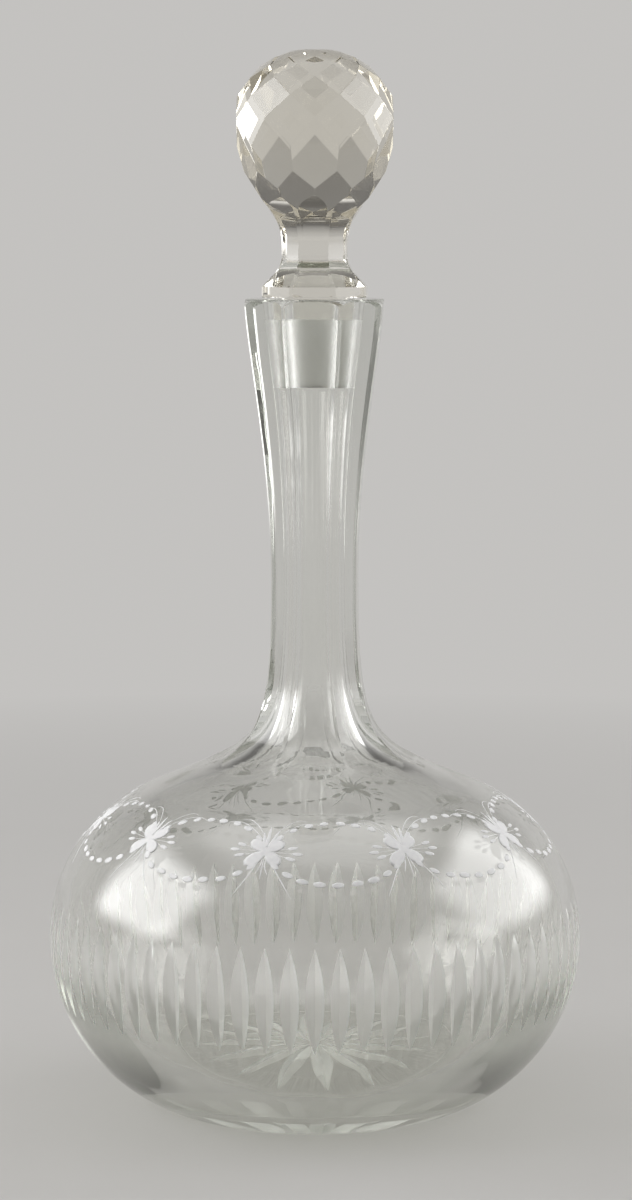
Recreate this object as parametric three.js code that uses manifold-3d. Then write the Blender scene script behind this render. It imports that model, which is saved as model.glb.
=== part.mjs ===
// Cut glass decanter with a globe stopper. Millimetres, +Z up, front towards -Y.
// The bottle is blown, then cut: eight flat slices down the neck, a belt of mitre flutes round the
// belly and a star under the foot. The stopper is solid: a diamond cut globe on an eight-sided
// stem and collar, with a tapered plug ground into the mouth.
// The origin is the centre of the foot, on the surface that the decanter stands on.
import * as THREE from 'three';
import { ConvexGeometry } from 'three/addons/geometries/ConvexGeometry.js';
import { mergeVertices } from 'three/addons/utils/BufferGeometryUtils.js';
import Module from 'manifold-3d';

const wasm = await Module();
wasm.setup();

const DEGREE = Math.PI / 180;

// Outside of the bottle, from the foot up. Each rise is measured from the place before it.
const FOOT_RADIUS = 40.3;
const FOOT_SLOPE = 17;
const BELLY_RADIUS = 71.7;
const BELLY_RISE = 45.8;
const SHOULDER_RADIUS = 45;
const SHOULDER_RISE = 40.1;
const SHOULDER_SLOPE = 23;
const WAIST_RADIUS = 12.3;
const WAIST_RISE = 56.6;
const RIM_RADIUS = 19.6;
const RIM_RISE = 74.5;
const RIM_FLARE = 4.5;
const LIP_ROUND = 2;

// Fullness of the outline's curves: how far each handle reaches towards the corner, 0 to 1.
const FOOT_FULLNESS = 0.44;
const BELLY_FULLNESS_BELOW = 0.57;
const BELLY_FULLNESS_ABOVE = 0.675;
const SHOULDER_FULLNESS = 0.19;
const SWEEP_FULLNESS = 0.95;
const WAIST_FULLNESS_BELOW = 0.82;
const WAIST_FULLNESS_ABOVE = 0.42;
const RIM_FULLNESS = 0.21;

// Inside of the bottle.
const FLOOR_THICKNESS = 9;
const FLOOR_RADIUS = 40;
const HEEL_FULLNESS_BELOW = 0.22;
const HEEL_FULLNESS_ABOVE = 0.54;
const BELLY_WALL = 4.3;
const SHOULDER_WALL = 4.6;
const BORE_RADIUS = 5.2;

// Stopper plug and the ground mouth that it seats in.
const PLUG_TOP_RADIUS = 8.7;
const PLUG_TIP_RADIUS = 6.5;
const PLUG_LENGTH = 22.8;
const PLUG_CHAMFER = 0.4;
const SEAT_GAP = 0.3;
const SOCKET_RUNOUT = 1.5;

// Stopper above the rim. The stem's length runs from the flare to where its line meets the taper's.
const COLLAR_RADIUS = 14.75;
const COLLAR_BAND = 2.9;
const COLLAR_EDGE = 0.5;
const FLARE_HEIGHT = 8.3;
const FLARE_SLOPE = 45;
const FLARE_FULLNESS_BELOW = 0.9;
const FLARE_FULLNESS_ABOVE = 0.42;
const STEM_RADIUS = 9.15;
const STEM_LENGTH = 7.3;
const STEM_FILLET = 16;
const FILLET_INSET = 0.1;
const GLOBE_RADIUS = 21.75;
const GLOBE_COUNT = 10;
const GLOBE_CROWN = 0.85;
const GLOBE_ROWS = 6;
const TABLE_HEIGHT = 17.9;
const LOWER_FACET_ANGLE = 15.5;
const TAPER_ANGLE = 33.3;
const TAPER_DROP = 11.1;

// Slices cut down the neck and the stem, with a narrow strip of round glass left between them.
const SLICE_COUNT = 8;
const SLICE_TURN = -2.75;
const ARRIS_WIDTH = 1;
const SLICE_FADE_RADIUS = 25;
const SLICE_END_RADIUS = 31;
const RUNOUT_ANGLE = 60;

// Flutes round the belly, measured up and down from its widest place.
const FLUTE_COUNT = 70;
const FLUTE_ABOVE = 10;
const FLUTE_BELOW = 17.6;
const FLUTE_ANGLE = 104;

// Star under the foot.
const STAR_ARMS = 16;
const STAR_TURN = 5.6;
const STAR_RADIUS = 34.5;
const STAR_HEART = 1.5;
const STAR_DEPTH = 1.9;
const STAR_ANGLE = 112;

// Faces: how finely the round forms are divided, round the axis and along each curve.
const CAVITY_SIDES = 36;
const STOPPER_SIDES = 40;
const OUTSIDE_STEPS = { foot: 10, belly: 7, sweep: 11, neck: 5 };
const HOLLOW_STEPS = { heel: 8, belly: 6, sweep: 8, neck: 3 };
const LIP_STEPS = 3;
const FLARE_STEPS = 5;
const FILLET_STEPS = 3;
const RUNOUT_STEPS = 6;
const STAR_STEPS = 8;

// How near two corners count as one, and how far a cutter reaches past the glass that it cuts.
const MERGE_TOLERANCE = 1e-4;
const REACH = 12;

const BELLY_HEIGHT = BELLY_RISE;
const SHOULDER_HEIGHT = BELLY_HEIGHT + SHOULDER_RISE;
const WAIST_HEIGHT = SHOULDER_HEIGHT + WAIST_RISE;
const RIM_HEIGHT = WAIST_HEIGHT + RIM_RISE;

// Closed geometry to a solid that can be joined and cut.
function solidOf(geometry) {
  const bare = geometry.clone();
  bare.deleteAttribute('normal');
  bare.deleteAttribute('uv');
  const merged = mergeVertices(bare, MERGE_TOLERANCE);
  const corners = merged.index.array;
  const kept = [];
  for (let i = 0; i < corners.length; i += 3) {
    const [a, b, c] = [corners[i], corners[i + 1], corners[i + 2]];
    if (a !== b && b !== c && c !== a) kept.push(a, b, c);
  }
  return new wasm.Manifold(new wasm.Mesh({
    numProp: 3,
    vertProperties: Float32Array.from(merged.attributes.position.array),
    triVerts: Uint32Array.from(kept),
  }));
}

// Solid to a named mesh.
function meshOf(name, solid, material) {
  const { vertProperties, triVerts } = solid.getMesh();
  const geometry = new THREE.BufferGeometry();
  geometry.setAttribute('position', new THREE.BufferAttribute(vertProperties, 3));
  geometry.setIndex(new THREE.BufferAttribute(triVerts, 1));
  geometry.computeVertexNormals();
  const mesh = new THREE.Mesh(geometry, material);
  mesh.name = name;
  return mesh;
}

// Profile of (radius, height) points, from the axis to the axis and upwards, turned round Z.
function turned(profile, sides, start = 0) {
  const geometry = new THREE.LatheGeometry(profile, sides, start);
  geometry.rotateX(Math.PI / 2);
  return solidOf(geometry);
}

// Points of one curve between two places, each with its direction and its handle's length.
function curve(from, fromAngle, fromHandle, to, toAngle, toHandle, steps) {
  const leave = new THREE.Vector2(Math.cos(fromAngle), Math.sin(fromAngle)).multiplyScalar(fromHandle);
  const arrive = new THREE.Vector2(Math.cos(toAngle), Math.sin(toAngle)).multiplyScalar(toHandle);
  const bend = new THREE.CubicBezierCurve(from, from.clone().add(leave), to.clone().sub(arrive), to);
  return bend.getPoints(steps);
}

// Radius of a rising outline at a height, between its points.
function radiusAt(outline, height) {
  for (let i = 1; i < outline.length; i += 1) {
    const low = outline[i - 1];
    const high = outline[i];
    if (height >= low.y && height <= high.y && high.y > low.y) {
      return THREE.MathUtils.mapLinear(height, low.y, high.y, low.x, high.x);
    }
  }
  return outline[outline.length - 1].x;
}

// Copies of one cutter, evenly spaced round Z. The cutter is made on +X, and 0 degrees is the front.
function around(cutter, count, turn) {
  const copies = [];
  for (let i = 0; i < count; i += 1) {
    copies.push(cutter.rotate([0, 0, turn + (360 / count) * i - 90]));
  }
  return wasm.Manifold.union(copies);
}

// Outline of the bottle's side, from the edge of the foot to the foot of the lip.
function bottleSide() {
  const foot = new THREE.Vector2(FOOT_RADIUS, 0);
  const belly = new THREE.Vector2(BELLY_RADIUS, BELLY_HEIGHT);
  const shoulder = new THREE.Vector2(SHOULDER_RADIUS, SHOULDER_HEIGHT);
  const waist = new THREE.Vector2(WAIST_RADIUS, WAIST_HEIGHT);
  const rim = new THREE.Vector2(RIM_RADIUS, RIM_HEIGHT - LIP_ROUND);
  const up = 90 * DEGREE;
  const inwards = (180 - SHOULDER_SLOPE) * DEGREE;
  const steps = OUTSIDE_STEPS;
  return [
    ...curve(foot, FOOT_SLOPE * DEGREE, FOOT_FULLNESS * (BELLY_RADIUS - FOOT_RADIUS),
      belly, up, BELLY_FULLNESS_BELOW * BELLY_RISE, steps.foot),
    ...curve(belly, up, BELLY_FULLNESS_ABOVE * SHOULDER_RISE,
      shoulder, inwards, SHOULDER_FULLNESS * (BELLY_RADIUS - SHOULDER_RADIUS), steps.belly).slice(1),
    ...curve(shoulder, inwards, SWEEP_FULLNESS * (SHOULDER_RADIUS - WAIST_RADIUS),
      waist, up, WAIST_FULLNESS_BELOW * WAIST_RISE, steps.sweep).slice(1),
    ...curve(waist, up, WAIST_FULLNESS_ABOVE * RIM_RISE,
      rim, (90 - RIM_FLARE) * DEGREE, RIM_FULLNESS * RIM_RISE, steps.neck).slice(1),
  ];
}

// Radius of the plug at a depth below the rim.
function plugRadius(depth) {
  return THREE.MathUtils.mapLinear(depth, 0, PLUG_LENGTH, PLUG_TOP_RADIUS, PLUG_TIP_RADIUS);
}

// Profile of the hollow: flat floor, heel, belly, shoulder, bore and ground mouth, run on past the rim.
function cavityProfile() {
  const up = 90 * DEGREE;
  const inwards = (180 - SHOULDER_SLOPE) * DEGREE;
  const floor = new THREE.Vector2(FLOOR_RADIUS, FLOOR_THICKNESS);
  const belly = new THREE.Vector2(BELLY_RADIUS - BELLY_WALL, BELLY_HEIGHT);
  const shoulder = new THREE.Vector2(
    SHOULDER_RADIUS - SHOULDER_WALL * Math.sin(SHOULDER_SLOPE * DEGREE),
    SHOULDER_HEIGHT - SHOULDER_WALL * Math.cos(SHOULDER_SLOPE * DEGREE),
  );
  const waist = new THREE.Vector2(BORE_RADIUS, WAIST_HEIGHT);
  const socketDepth = PLUG_LENGTH + SOCKET_RUNOUT;
  const socket = new THREE.Vector2(plugRadius(socketDepth) + SEAT_GAP, RIM_HEIGHT - socketDepth);
  const socketLean = Math.atan2(PLUG_LENGTH, PLUG_TOP_RADIUS - PLUG_TIP_RADIUS);
  const steps = HOLLOW_STEPS;
  return [
    new THREE.Vector2(0, FLOOR_THICKNESS),
    ...curve(floor, 0, HEEL_FULLNESS_BELOW * (belly.x - floor.x),
      belly, up, HEEL_FULLNESS_ABOVE * (belly.y - floor.y), steps.heel),
    ...curve(belly, up, BELLY_FULLNESS_ABOVE * (shoulder.y - belly.y),
      shoulder, inwards, SHOULDER_FULLNESS * (belly.x - shoulder.x), steps.belly).slice(1),
    ...curve(shoulder, inwards, SWEEP_FULLNESS * (shoulder.x - waist.x),
      waist, up, WAIST_FULLNESS_BELOW * (waist.y - shoulder.y), steps.sweep).slice(1),
    ...curve(waist, up, WAIST_FULLNESS_ABOVE * (socket.y - waist.y),
      socket, socketLean, RIM_FULLNESS * (socket.y - waist.y), steps.neck).slice(1),
    new THREE.Vector2(plugRadius(-REACH) + SEAT_GAP, RIM_HEIGHT + REACH),
    new THREE.Vector2(0, RIM_HEIGHT + REACH),
  ];
}

// Distance from the axis to a flat slice on round glass of the given radius.
function sliceDistance(radius) {
  const halfPitch = Math.PI / SLICE_COUNT;
  return radius * Math.cos(halfPitch - Math.asin(ARRIS_WIDTH / 2 / radius));
}

// One slice's cutter on +X: everything outside a line of (distance, height) points, cut straight
// across. The line rises from the slice's lower end to its upper end.
function sliceCutter(line, width) {
  const top = line[line.length - 1];
  const foot = line[0];
  const outside = Math.max(...line.map((point) => point.x)) + REACH;
  const shape = new THREE.Shape([
    ...line,
    new THREE.Vector2(outside, top.y),
    new THREE.Vector2(outside, foot.y),
  ]);
  const geometry = new THREE.ExtrudeGeometry(shape, { depth: width, bevelEnabled: false });
  geometry.translate(0, 0, -width / 2);
  geometry.rotateX(Math.PI / 2);
  return solidOf(geometry);
}

// Line that a neck slice follows: it leaves the shoulder, sinks to full depth and runs past the rim.
function neckSliceLine(side) {
  const line = [];
  side.filter((point) => point.y > SHOULDER_HEIGHT && point.x < SLICE_END_RADIUS).forEach((point) => {
    const fade = THREE.MathUtils.smoothstep(point.x, SLICE_FADE_RADIUS, SLICE_END_RADIUS);
    const distance = THREE.MathUtils.lerp(sliceDistance(point.x), point.x, fade);
    line.push(new THREE.Vector2(distance, point.y));
  });
  const last = line[line.length - 1];
  const flare = Math.tan(RIM_FLARE * DEGREE) * (LIP_ROUND + REACH);
  line.push(new THREE.Vector2(last.x + flare, last.y + LIP_ROUND + REACH));
  return line;
}

// One flute's cutter on +X: a V groove whose ridge runs straight between two places on the side.
function fluteCutter(side) {
  const high = new THREE.Vector2(radiusAt(side, BELLY_HEIGHT + FLUTE_ABOVE), BELLY_HEIGHT + FLUTE_ABOVE);
  const low = new THREE.Vector2(radiusAt(side, BELLY_HEIGHT - FLUTE_BELOW), BELLY_HEIGHT - FLUTE_BELOW);
  const length = high.distanceTo(low);
  const lean = Math.atan2(high.x - low.x, high.y - low.y);
  const spread = REACH * Math.tan((FLUTE_ANGLE / 2) * DEGREE);
  const groove = new THREE.Shape([
    new THREE.Vector2(0, 0),
    new THREE.Vector2(REACH, -spread),
    new THREE.Vector2(REACH, spread),
  ]);
  const geometry = new THREE.ExtrudeGeometry(groove, { depth: length + 2 * REACH, bevelEnabled: false });
  geometry.translate(0, 0, -REACH);
  geometry.rotateY(lean);
  geometry.translate(low.x, 0, low.y);
  return solidOf(geometry);
}

// One star arm's cutter on +X: a V groove from below whose ridge is an arc, deepest half way out.
function starCutter() {
  const spread = Math.tan((STAR_ANGLE / 2) * DEGREE);
  const below = STAR_DEPTH;
  const points = [];
  for (let i = 0; i <= STAR_STEPS; i += 1) {
    const along = i / STAR_STEPS;
    const out = THREE.MathUtils.lerp(STAR_HEART, STAR_RADIUS, along);
    const depth = STAR_DEPTH * 4 * along * (1 - along);
    const halfWidth = (depth + below) * spread;
    points.push(new THREE.Vector3(out, 0, depth));
    points.push(new THREE.Vector3(out, halfWidth, -below));
    points.push(new THREE.Vector3(out, -halfWidth, -below));
  }
  return solidOf(new ConvexGeometry(points));
}

// The bottle: turned outside, hollowed, then sliced, fluted and starred.
function decanterBody() {
  const side = bottleSide();
  const lip = new THREE.EllipseCurve(
    RIM_RADIUS - LIP_ROUND, RIM_HEIGHT - LIP_ROUND, LIP_ROUND, LIP_ROUND, 0, Math.PI / 2,
  ).getPoints(LIP_STEPS);
  const profile = [
    new THREE.Vector2(0, 0),
    ...side,
    ...lip.slice(1),
    new THREE.Vector2(0, RIM_HEIGHT),
  ];
  const halfFlute = Math.PI / FLUTE_COUNT;
  const blank = turned(profile, FLUTE_COUNT, -halfFlute);
  const cavity = turned(cavityProfile(), CAVITY_SIDES);
  const slices = around(sliceCutter(neckSliceLine(side), 2 * SLICE_END_RADIUS), SLICE_COUNT, SLICE_TURN);
  const flutes = around(fluteCutter(side), FLUTE_COUNT, 0);
  const star = around(starCutter(), STAR_ARMS, STAR_TURN);
  return blank.subtract(cavity).subtract(slices).subtract(flutes).subtract(star);
}

// Ring of corners for the globe, with the equator at height 0.
function ring(radius, height, offset) {
  const corners = [];
  for (let i = 0; i < GLOBE_COUNT; i += 1) {
    const angle = ((i + offset) * 2 * Math.PI) / GLOBE_COUNT - Math.PI / 2;
    corners.push(new THREE.Vector3(radius * Math.cos(angle), radius * Math.sin(angle), height));
  }
  return corners;
}

// Distance from the axis that the taper's facets would have at the equator's height.
function taperReach() {
  return GLOBE_RADIUS * Math.cos(Math.PI / GLOBE_COUNT) + Math.tan(TAPER_ANGLE * DEGREE) * TAPER_DROP;
}

// How far below the equator the taper's facets come down to a distance from the axis.
function taperDrop(distance) {
  return (taperReach() - distance) / Math.tan(TAPER_ANGLE * DEGREE);
}

// Corners of the globe. Above the equator each lozenge meets its neighbours at shared corners, so
// the latitude of each row follows from the two below it. Below, kites meet long taper facets.
function globeCorners() {
  const pinch = Math.cos(Math.PI / GLOBE_COUNT);
  const corners = [...ring(GLOBE_RADIUS, 0, 0)];
  let before = 0;
  let here = Math.PI / GLOBE_COUNT;
  for (let row = 1; row <= GLOBE_ROWS + 1; row += 1) {
    const height = GLOBE_CROWN * GLOBE_RADIUS * Math.sin(here);
    corners.push(...ring(GLOBE_RADIUS * Math.cos(here), height, (row % 2) / 2));
    const lean = Math.atan2(Math.cos(before) - pinch * Math.cos(here), Math.sin(here) - Math.sin(before));
    [before, here] = [here, 2 * lean - before];
  }
  const upright = GLOBE_RADIUS * pinch;
  const kite = Math.tan(LOWER_FACET_ANGLE * DEGREE);
  const taper = Math.tan(TAPER_ANGLE * DEGREE);
  const reach = taperReach();
  const sideDrop = (GLOBE_RADIUS - upright * pinch) / kite;
  const tipDrop = (reach - GLOBE_RADIUS / pinch) / (taper - kite / pinch);
  const vDrop = (reach / pinch - GLOBE_RADIUS) / (taper / pinch - kite);
  const endRadius = STEM_RADIUS - ARRIS_WIDTH;
  corners.push(...ring(upright, -sideDrop, 0.5));
  corners.push(...ring((GLOBE_RADIUS - kite * tipDrop) / pinch, -tipDrop, 0.5));
  corners.push(...ring(GLOBE_RADIUS - kite * vDrop, -vDrop, 0));
  corners.push(...ring(endRadius / pinch, -taperDrop(endRadius), 0));
  return corners;
}

// Outline of the collar's flare, from the collar's upper edge in to the foot of the stem.
function flareSide(collarTop, stemFoot) {
  const collar = new THREE.Vector2(COLLAR_RADIUS, collarTop);
  const foot = new THREE.Vector2(STEM_RADIUS, stemFoot);
  return curve(collar, (180 - FLARE_SLOPE) * DEGREE, FLARE_FULLNESS_BELOW * (collar.x - foot.x),
    foot, 90 * DEGREE, FLARE_FULLNESS_ABOVE * FLARE_HEIGHT, FLARE_STEPS);
}

// Hollow arc that leaves an upright line at the given distance from the axis and turns outwards.
function outwardArc(distance, height, sweep, steps) {
  const arc = new THREE.EllipseCurve(
    distance + STEM_FILLET, height, STEM_FILLET, STEM_FILLET, Math.PI, Math.PI - sweep * DEGREE, true,
  );
  return arc.getPoints(steps);
}

// The stopper, made with the rim's plane at height 0: plug below it, collar, stem and globe above.
// The stem's fillet ends just inside the taper's facets, and the slices run on out through them.
function stopperSolid() {
  const collarFoot = SEAT_GAP;
  const collarTop = collarFoot + COLLAR_BAND;
  const stemFoot = collarTop + FLARE_HEIGHT;
  const stemTop = stemFoot + STEM_LENGTH;
  const equator = stemTop + taperDrop(STEM_RADIUS);
  const insetTop = equator - taperDrop(STEM_RADIUS + FILLET_INSET);
  const filletFoot = insetTop - STEM_FILLET * Math.tan((TAPER_ANGLE / 2) * DEGREE);
  const flare = flareSide(collarTop, stemFoot);
  const fillet = outwardArc(STEM_RADIUS, filletFoot, TAPER_ANGLE, FILLET_STEPS);
  const blank = turned([
    new THREE.Vector2(0, -PLUG_LENGTH),
    new THREE.Vector2(PLUG_TIP_RADIUS - PLUG_CHAMFER, -PLUG_LENGTH),
    new THREE.Vector2(plugRadius(PLUG_LENGTH - PLUG_CHAMFER), PLUG_CHAMFER - PLUG_LENGTH),
    new THREE.Vector2(plugRadius(-collarFoot), collarFoot),
    new THREE.Vector2(COLLAR_RADIUS - COLLAR_EDGE, collarFoot),
    new THREE.Vector2(COLLAR_RADIUS, collarFoot + COLLAR_EDGE),
    ...flare,
    ...fillet,
    new THREE.Vector2(0, fillet[FILLET_STEPS].y),
  ], STOPPER_SIDES);
  const table = new THREE.CylinderGeometry(GLOBE_RADIUS, GLOBE_RADIUS, REACH);
  table.rotateX(Math.PI / 2);
  table.translate(0, 0, TABLE_HEIGHT + REACH / 2);
  const globe = solidOf(new ConvexGeometry(globeCorners())).subtract(solidOf(table));
  const line = [
    new THREE.Vector2(sliceDistance(COLLAR_RADIUS), collarFoot - REACH),
    ...flare.map((point) => new THREE.Vector2(sliceDistance(point.x), point.y)),
    ...outwardArc(sliceDistance(STEM_RADIUS), filletFoot, RUNOUT_ANGLE, RUNOUT_STEPS),
  ];
  const slices = around(sliceCutter(line, 2 * COLLAR_RADIUS), SLICE_COUNT, SLICE_TURN);
  return blank.add(globe.translate([0, 0, equator])).subtract(slices);
}

// Polished glass of one colour.
function polished(color, roughness) {
  return new THREE.MeshStandardMaterial({ color, roughness, metalness: 0, flatShading: true });
}

const decanter = new THREE.Group();
decanter.add(meshOf('decanter_body', decanterBody(), polished(0xe8edee, 0.06)));

const stopper = meshOf('stopper', stopperSolid(), polished(0xefece2, 0.08));
stopper.position.z = RIM_HEIGHT;
decanter.add(stopper);

export default decanter;
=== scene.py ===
"""Cut glass decanter with a globe stopper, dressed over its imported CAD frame.

The bottle is one turned piece of glass that is then cut, as the real one is: eight slices down the
neck, a belt of mitre flutes round the belly and a star under the foot. The stopper is a second
piece of glass. The engraved band lies on the bottle's shoulder. Sizes are in millimetres.
"""

from __future__ import annotations

import logging
import math
import random
from dataclasses import dataclass
from enum import Enum
from typing import Any, Callable, Sequence

import bpy
from mathutils import Matrix, Vector
from mathutils.geometry import interpolate_bezier

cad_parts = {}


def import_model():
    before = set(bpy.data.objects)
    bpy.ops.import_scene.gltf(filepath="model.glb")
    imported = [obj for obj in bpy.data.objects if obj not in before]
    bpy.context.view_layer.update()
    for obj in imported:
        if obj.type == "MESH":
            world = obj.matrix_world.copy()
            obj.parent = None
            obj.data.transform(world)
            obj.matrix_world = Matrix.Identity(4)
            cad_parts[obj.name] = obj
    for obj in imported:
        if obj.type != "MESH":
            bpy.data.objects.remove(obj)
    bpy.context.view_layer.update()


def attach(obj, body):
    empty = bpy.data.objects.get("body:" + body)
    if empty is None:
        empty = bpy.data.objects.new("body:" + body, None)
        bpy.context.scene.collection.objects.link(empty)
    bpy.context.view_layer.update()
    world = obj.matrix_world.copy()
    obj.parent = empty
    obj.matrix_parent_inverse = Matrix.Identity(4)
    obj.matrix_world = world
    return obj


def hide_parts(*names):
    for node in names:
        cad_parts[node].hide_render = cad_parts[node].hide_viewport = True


LOG = logging.getLogger("decanter")

MM = 0.001
QUARTER = math.pi / 2
CUT_MARK = "cut"

# Points this close are one point, in metres.
MERGE = 1e-6
# Faces that meet at less than this are one flat facet, or one round surface.
FLAT = math.radians(0.3)
CREASE = math.radians(9)
# Rounding error that a comparison allows.
TINY = 1e-9

Colour = tuple[float, float, float]
Span = tuple[float, float]
Rays = tuple[tuple[float, float], ...]
Socket = bpy.types.NodeSocket

WHOLE: Span = (0.0, 1.0)


class Joining(Enum):
    """How a boolean modifier puts two solids together."""

    WELD = "UNION"
    CUT = "DIFFERENCE"
    COMMON = "INTERSECT"


class Side(Enum):
    """Side of the decanter as the camera sees it."""

    LEFT = -1.0
    RIGHT = 1.0


# Workshop: small steps that every piece uses.


def clear_selection() -> None:
    """Leave edit mode and deselect everything, the CAD nodes included."""
    if bpy.context.object is not None and bpy.context.object.mode != "OBJECT":
        bpy.ops.object.mode_set(mode="OBJECT")
    bpy.ops.object.select_all(action="DESELECT")


def take(piece: bpy.types.Object) -> bpy.types.Object:
    """Select one piece alone and make it active.

    Args:
        piece: The object to work on.

    Returns:
        The same object.
    """
    clear_selection()
    piece.select_set(True)
    bpy.context.view_layer.objects.active = piece
    return piece


def open_mesh(piece: bpy.types.Object) -> None:
    """Take a piece into edit mode with all of it selected.

    Args:
        piece: The piece.
    """
    take(piece)
    bpy.ops.object.mode_set(mode="EDIT")
    bpy.ops.mesh.select_all(action="SELECT")


def close_mesh() -> None:
    """Leave edit mode."""
    bpy.ops.object.mode_set(mode="OBJECT")


def curve(points: Sequence[Vector], closed: bool = False) -> bpy.types.Object:
    """Draw a line through points.

    Args:
        points: The points, flat or in space.
        closed: Whether the last point joins the first.

    Returns:
        The curve.
    """
    clear_selection()
    bpy.ops.curve.primitive_bezier_curve_add(location=(0, 0, 0))
    piece = bpy.context.object
    piece.data.dimensions = "3D"
    piece.data.splines.clear()
    line = piece.data.splines.new("POLY")
    line.points.add(len(points) - 1)
    for place, point in zip(line.points, points):
        place.co = (*point.to_3d(), 1.0)
    line.use_cyclic_u = closed
    return piece


def drawn(name: str, points: Sequence[Vector], closed: bool = False) -> bpy.types.Object:
    """Draw a line through points and make it a chain of edges.

    Args:
        name: Name of the new object.
        points: Points in metres.
        closed: Whether the last point joins the first.

    Returns:
        The object with the chain.
    """
    curve(points, closed).name = name
    bpy.ops.object.convert(target="MESH")
    return bpy.context.object


def turned(name: str, profile: Sequence[Vector], sides: int) -> bpy.types.Object:
    """Spin a closed profile round Z, as on a lathe.

    Args:
        name: Name of the new object.
        profile: Points (radius, 0, height) in metres, from the axis to the axis.
        sides: Steps round the axis.

    Returns:
        The turned solid with its faces outwards.
    """
    piece = drawn(name, profile)
    open_mesh(piece)
    bpy.ops.mesh.spin(steps=sides, angle=math.tau, center=(0, 0, 0), axis=(0, 0, 1))
    bpy.ops.mesh.select_all(action="SELECT")
    bpy.ops.mesh.remove_doubles(threshold=MERGE)
    bpy.ops.mesh.normals_make_consistent(inside=False)
    close_mesh()
    return piece


def pulled(name: str, section: Sequence[Vector], along: Vector) -> bpy.types.Object:
    """Fill a closed section and extrude it.

    Args:
        name: Name of the new object.
        section: Corners of the section in metres.
        along: Direction and length of the extrusion.

    Returns:
        The closed prism.
    """
    piece = drawn(name, section, closed=True)
    open_mesh(piece)
    bpy.ops.mesh.edge_face_add()
    bpy.ops.mesh.extrude_region_move(TRANSFORM_OT_translate={"value": along})
    bpy.ops.mesh.select_all(action="SELECT")
    bpy.ops.mesh.normals_make_consistent(inside=False)
    close_mesh()
    return piece


def hulled(name: str, corners: Sequence[Vector]) -> bpy.types.Object:
    """Wrap corners in flat faces, each as large as it can be.

    Args:
        name: Name of the new object.
        corners: Corners in metres.

    Returns:
        The closed solid.
    """
    piece = drawn(name, corners)
    open_mesh(piece)
    bpy.ops.mesh.convex_hull()
    bpy.ops.mesh.select_all(action="SELECT")
    bpy.ops.mesh.dissolve_limited(angle_limit=FLAT)
    bpy.ops.mesh.select_all(action="SELECT")
    bpy.ops.mesh.normals_make_consistent(inside=False)
    close_mesh()
    return piece


def ringed(piece: bpy.types.Object, count: int) -> bpy.types.Object:
    """Repeat a piece evenly round Z, all in one object.

    Args:
        piece: The piece, at its own place off the axis.
        count: Number in the ring.

    Returns:
        The same object, now with every copy.
    """
    open_mesh(piece)
    last = math.tau * (count - 1) / count
    bpy.ops.mesh.spin(steps=count - 1, angle=last, center=(0, 0, 0), axis=(0, 0, 1), dupli=True)
    bpy.ops.mesh.select_all(action="SELECT")
    bpy.ops.mesh.normals_make_consistent(inside=False)
    close_mesh()
    return piece


def worked(piece: bpy.types.Object, tool: bpy.types.Object, how: Joining) -> bpy.types.Object:
    """Join or cut a piece with another, which is used up.

    Args:
        piece: The piece that stays.
        tool: The piece that is used up.
        how: What the boolean does.

    Returns:
        The piece that stays.
    """
    take(piece)
    step = piece.modifiers.new(how.name.lower(), "BOOLEAN")
    step.operation = how.value
    step.solver = "EXACT"
    step.object = tool
    bpy.ops.object.modifier_apply(modifier=step.name)
    bpy.data.objects.remove(tool, do_unlink=True)
    return piece


def gathered(name: str, parts: Sequence[bpy.types.Object]) -> bpy.types.Object:
    """Join several meshes into one object.

    Args:
        name: Name of the result.
        parts: The objects, which become one.

    Returns:
        The joined object.
    """
    take(parts[0])
    for part in parts[1:]:
        part.select_set(True)
    bpy.ops.object.join()
    piece = bpy.context.object
    piece.name = name
    piece.data.name = name
    return piece


def softened(piece: bpy.types.Object, width: float, angle: float) -> None:
    """Break the sharp edges of a piece by a small bevel.

    Args:
        piece: The piece.
        width: Width of the bevel in metres.
        angle: Edges that turn by more than this are bevelled, in radians.
    """
    take(piece)
    step = piece.modifiers.new("edge", "BEVEL")
    step.width = width
    step.segments = 1
    step.limit_method = "ANGLE"
    step.angle_limit = angle
    bpy.ops.object.modifier_apply(modifier=step.name)


def shaded(piece: bpy.types.Object) -> None:
    """Shade round forms smooth and keep every cut's edge crisp."""
    take(piece)
    bpy.ops.object.shade_smooth_by_angle(angle=CREASE)


def coated(piece: bpy.types.Object, *finishes: bpy.types.Material) -> None:
    """Give a piece its finishes, in the order of its faces' numbers.

    Args:
        piece: The piece.
        finishes: Its materials, from number 0 on.
    """
    piece.data.materials.clear()
    for finish in finishes:
        piece.data.materials.append(finish)


def aimed(piece: bpy.types.Object, turn: float) -> None:
    """Turn a piece made on +X to its place, with 0 at the front and right positive.

    Args:
        piece: The piece.
        turn: Angle from the front in degrees.
    """
    piece.data.transform(Matrix.Rotation(math.radians(turn - 90), 4, "Z"))


def heading(angle: float) -> Vector:
    """Direction on a flat drawing, by its angle from the right in radians."""
    return Vector((math.cos(angle), math.sin(angle)))


def placed(points: Sequence[Vector]) -> list[Vector]:
    """Turn (radius, height) points in millimetres into points in metres on the XZ plane."""
    return [Vector((point.x * MM, 0.0, point.y * MM)) for point in points]


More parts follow.
